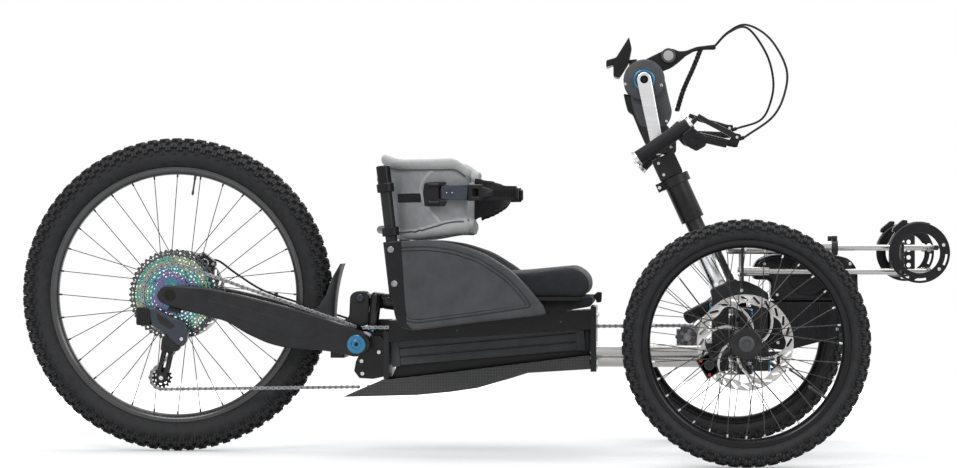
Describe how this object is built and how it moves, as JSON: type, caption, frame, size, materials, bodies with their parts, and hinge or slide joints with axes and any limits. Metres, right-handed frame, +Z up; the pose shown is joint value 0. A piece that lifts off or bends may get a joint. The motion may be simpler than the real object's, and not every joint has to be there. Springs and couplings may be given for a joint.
{
  "type": "recumbent off-road handcycle",
  "caption": "Three-wheeled recumbent handcycle with a sprung driven rear wheel, leaning front wheels, raised hand cranks, seat with padded torso wrap and foot cradle.",
  "frame": {"origin": "on the ground under the middle of the overall length, in the centre plane", "axes": "+X forward, +Y to the rider's left, +Z up"},
  "size_m": [2.0695, 0.784, 0.9576],
  "materials": {
    "black_frame": "satin black powder coat",
    "wheel_black": "satin black rims, spokes and hubs",
    "tyre": "matt black knobbly tyre rubber",
    "polished": "polished aluminium",
    "steel": "bright and oiled steel",
    "cassette": "iridescent blue-green coated steel",
    "blue": "blue anodised caps",
    "grey_cast": "dark grey painted castings and covers",
    "black_plastic": "matt black moulded plastic",
    "carbon": "clear-coated woven carbon",
    "grip": "soft black grip sleeves",
    "hose": "black brake hose and cable cover",
    "pad_grey": "padded grey cloth with pale piping",
    "pad_black": "padded black cloth"
  },
  "bodies": {
    "chassis": {"rear_casting": "black_frame", "pivot_axle": "blue", "seat_beam": "black_frame", "battery": "black_plastic", "belly_pan": "carbon", "frame_tubes": "polished", "front_block": "black_frame", "chain_guide": "grey_cast", "front_chain": "steel", "drive_unit": "black_plastic", "drive_cover": "grey_cast", "head_tube": "polished", "foot_sockets": "polished", "right_side_guard": "black_plastic", "left_side_guard": "black_plastic", "seat_pan": "black_plastic", "seat_cushion": "pad_black"},
    "swingarm": {"swingarm": "black_frame", "derailleur_body": "black_plastic", "rear_chain": "steel"},
    "rear_wheel": {"rear_wheel": "wheel_black", "rear_tyre": "tyre"},
    "cassette": {"cassette": "cassette"},
    "derailleur_cage": {"derailleur_cage": "black_plastic"},
    "upper_jockey": {"upper_jockey": "black_plastic"},
    "lower_jockey": {"lower_jockey": "black_plastic"},
    "shock_body": {"shock_body": "black_frame"},
    "shock_shaft": {"shock_shaft": "steel"},
    "drive_sprocket": {"drive_sprocket": "steel"},
    "lower_beam": {"lower_beam": "black_frame"},
    "upper_beam": {"upper_beam": "black_frame"},
    "tie_rod": {"tie_rod": "black_frame"},
    "right_upright": {"right_upright": "black_frame"},
    "left_upright": {"left_upright": "black_frame"},
    "right_knuckle": {"right_knuckle": "black_frame"},
    "left_knuckle": {"left_knuckle": "black_frame"},
    "right_wheel": {"right_wheel": "wheel_black", "right_tyre": "tyre"},
    "left_wheel": {"left_wheel": "wheel_black", "left_tyre": "tyre"},
    "column": {"steering_column": "black_frame"},
    "head": {"column_sleeve": "black_frame", "crank_head": "grey_cast", "display": "black_plastic", "cable_bundle": "hose", "right_hose_loop": "hose", "left_hose_loop": "hose"},
    "crankset": {"crankset": "polished"},
    "right_grip": {"right_grip": "grip"},
    "left_grip": {"left_grip": "grip"},
    "right_brake_lever": {"right_brake_lever": "black_plastic"},
    "left_brake_lever": {"left_brake_lever": "black_plastic"},
    "foot_cradle": {"foot_carriage": "polished", "right_foot_ring": "black_plastic", "left_foot_ring": "black_plastic"},
    "backrest": {"backrest_frame": "black_frame", "torso_wrap": "pad_grey", "belly_pad": "pad_black", "right_chest_strap": "black_plastic", "left_chest_strap": "black_plastic"}
  },
  "joints": [
    {"name": "suspension", "type": "hinge", "parent": "chassis", "child": "swingarm", "pos_m": [-0.262, 0, 0.2456], "axis": [0, 1, 0], "range_deg": [0, 12], "stiffness_Nm_per_rad": 600, "springref_deg": -9.74},
    {"name": "rear_spin", "type": "hinge", "parent": "swingarm", "child": "rear_wheel", "pos_m": [-0.681, 0, 0.354], "axis": [0, 1, 0], "continuous": true},
    {"name": "cassette_spin", "type": "hinge", "parent": "swingarm", "child": "cassette", "pos_m": [-0.681, -0.0555, 0.354], "axis": [0, 1, 0], "continuous": true},
    {"name": "cage_swing", "type": "hinge", "parent": "swingarm", "child": "derailleur_cage", "pos_m": [-0.69, -0.0555, 0.238], "axis": [0, 1, 0], "range_deg": [-8, 12], "stiffness_Nm_per_rad": 4, "deforming": ["rear_chain"]},
    {"name": "upper_jockey_spin", "type": "hinge", "parent": "derailleur_cage", "child": "upper_jockey", "pos_m": [-0.69, -0.0555, 0.238], "axis": [0, 1, 0], "continuous": true},
    {"name": "lower_jockey_spin", "type": "hinge", "parent": "derailleur_cage", "child": "lower_jockey", "pos_m": [-0.706, -0.0555, 0.168], "axis": [0, 1, 0], "continuous": true},
    {"name": "shock_turn", "type": "hinge", "parent": "swingarm", "child": "shock_body", "pos_m": [-0.262, 0, 0.3466], "axis": [0, 1, 0], "range_deg": [-12, 0.5]},
    {"name": "shock_stroke", "type": "slide", "parent": "shock_body", "child": "shock_shaft", "axis": [-0.9913, 0, 0.1314], "range_m": [0, 0.0225]},
    {"name": "drive_sprocket_spin", "type": "hinge", "parent": "chassis", "child": "drive_sprocket", "pos_m": [0.47, -0.0555, 0.262], "axis": [0, 1, 0], "continuous": true},
    {"name": "lean", "type": "hinge", "parent": "chassis", "child": "lower_beam", "pos_m": [0.5875, 0, 0.2], "axis": [1, 0, 0], "range_deg": [-12, 12], "stiffness_Nm_per_rad": 400},
    {"name": "upper_beam_lean", "type": "hinge", "parent": "chassis", "child": "upper_beam", "pos_m": [0.5875, 0, 0.32], "axis": [1, 0, 0], "range_deg": [-12, 12]},
    {"name": "right_upright_pivot", "type": "hinge", "parent": "lower_beam", "child": "right_upright", "pos_m": [0.5875, -0.258, 0.2], "axis": [1, 0, 0], "range_deg": [-12, 12]},
    {"name": "left_upright_pivot", "type": "hinge", "parent": "lower_beam", "child": "left_upright", "pos_m": [0.5875, 0.258, 0.2], "axis": [1, 0, 0], "range_deg": [-12, 12]},
    {"name": "tie_rod_shift", "type": "slide", "parent": "lower_beam", "child": "tie_rod", "axis": [0, 1, 0], "range_m": [-0.0255, 0.0255]},
    {"name": "steering", "type": "hinge", "parent": "chassis", "child": "column", "pos_m": [0.5605, 0, 0.353], "axis": [-0.4147, 0, 0.91], "range_deg": [-20, 20]},
    {"name": "right_king_pin", "type": "hinge", "parent": "right_upright", "child": "right_knuckle", "pos_m": [0.5875, -0.258, 0.26], "axis": [0, 0, 1], "range_deg": [-20, 20]},
    {"name": "left_king_pin", "type": "hinge", "parent": "left_upright", "child": "left_knuckle", "pos_m": [0.5875, 0.258, 0.26], "axis": [0, 0, 1], "range_deg": [-20, 20]},
    {"name": "right_wheel_spin", "type": "hinge", "parent": "right_knuckle", "child": "right_wheel", "pos_m": [0.5875, -0.36, 0.26], "axis": [0, 1, 0], "continuous": true},
    {"name": "left_wheel_spin", "type": "hinge", "parent": "left_knuckle", "child": "left_wheel", "pos_m": [0.5875, 0.36, 0.26], "axis": [0, 1, 0], "continuous": true},
    {"name": "column_height", "type": "slide", "parent": "column", "child": "head", "axis": [-0.4147, 0, 0.91], "range_m": [0, 0.05]},
    {"name": "crank_spin", "type": "hinge", "parent": "head", "child": "crankset", "pos_m": [0.3746, 0, 0.833], "axis": [0, 1, 0], "continuous": true, "deforming": ["right_hose_loop", "left_hose_loop"]},
    {"name": "right_grip_turn", "type": "hinge", "parent": "crankset", "child": "right_grip", "pos_m": [0.40412, -0.15, 0.68389], "axis": [0, 1, 0], "continuous": true},
    {"name": "left_grip_turn", "type": "hinge", "parent": "crankset", "child": "left_grip", "pos_m": [0.40412, 0.15, 0.68389], "axis": [0, 1, 0], "continuous": true},
    {"name": "right_brake", "type": "hinge", "parent": "right_grip", "child": "right_brake_lever", "pos_m": [0.57608, -0.15, 0.70001], "axis": [0, -1, 0], "range_deg": [0, 12], "stiffness_Nm_per_rad": 1.5, "springref_deg": -8.59},
    {"name": "left_brake", "type": "hinge", "parent": "left_grip", "child": "left_brake_lever", "pos_m": [0.56959, 0.15, 0.73339], "axis": [0, -1, 0], "range_deg": [0, 12], "stiffness_Nm_per_rad": 1.5, "springref_deg": -8.59},
    {"name": "foot_reach", "type": "slide", "parent": "chassis", "child": "foot_cradle", "axis": [1, 0, 0], "range_m": [-0.04, 0.06]},
    {"name": "backrest_height", "type": "slide", "parent": "chassis", "child": "backrest", "axis": [-0.117, 0, 0.9931], "range_m": [0, 0.04]}
  ],
  "couplings": [
    {"joint": "shock_turn", "follows": "suspension", "ratio": -0.981},
    {"joint": "shock_stroke", "follows": "suspension", "m_per_rad": 0.1007},
    {"joint": "upper_beam_lean", "follows": "lean", "ratio": 1},
    {"joint": "right_upright_pivot", "follows": "lean", "ratio": -1},
    {"joint": "left_upright_pivot", "follows": "lean", "ratio": -1},
    {"joint": "tie_rod_shift", "follows": "steering", "m_per_rad": 0.0725},
    {"joint": "right_king_pin", "follows": "steering", "ratio": 1},
    {"joint": "left_king_pin", "follows": "steering", "ratio": 1},
    {"joint": "right_grip_turn", "follows": "crank_spin", "ratio": -1},
    {"joint": "left_grip_turn", "follows": "crank_spin", "ratio": -1}
  ]
}
